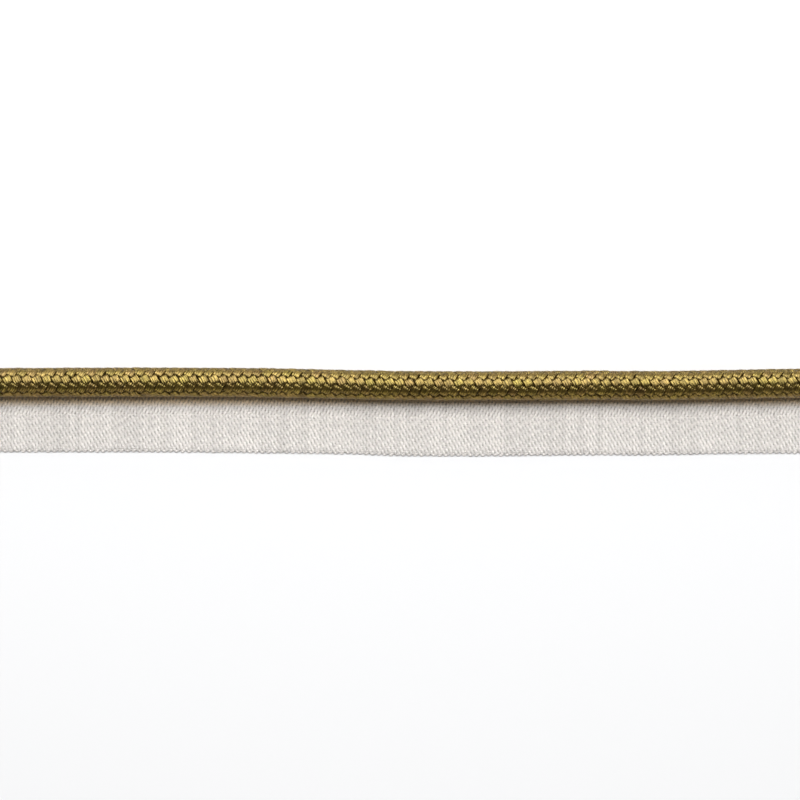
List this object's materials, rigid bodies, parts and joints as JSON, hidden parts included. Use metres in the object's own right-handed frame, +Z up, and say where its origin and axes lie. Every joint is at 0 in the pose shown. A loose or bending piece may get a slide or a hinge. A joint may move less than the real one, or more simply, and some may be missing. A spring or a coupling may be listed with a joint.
{
  "type": "length of flanged piping trim",
  "caption": "Straight cut length of piping trim: a round braided cord carried along one edge of a flat woven herringbone tape that is sewn into a seam.",
  "frame": {"origin": "on the surface that the tape lies on, under the cord's axis, at mid-length", "axes": "+X along the trim, +Y from the tape's free edge towards the back of the cord, +Z up, away from the surface"},
  "size_m": [0.2001, 0.0181, 0.0072],
  "materials": {
    "cord_yarn": "lustrous viscose yarn, old gold, braided",
    "tape_yarn": "matt ivory cotton yarn, woven in herringbone twill"
  },
  "bodies": {
    "root": {"braided_cord": "cord_yarn", "woven_tape": "tape_yarn"}
  },
  "joints": []
}
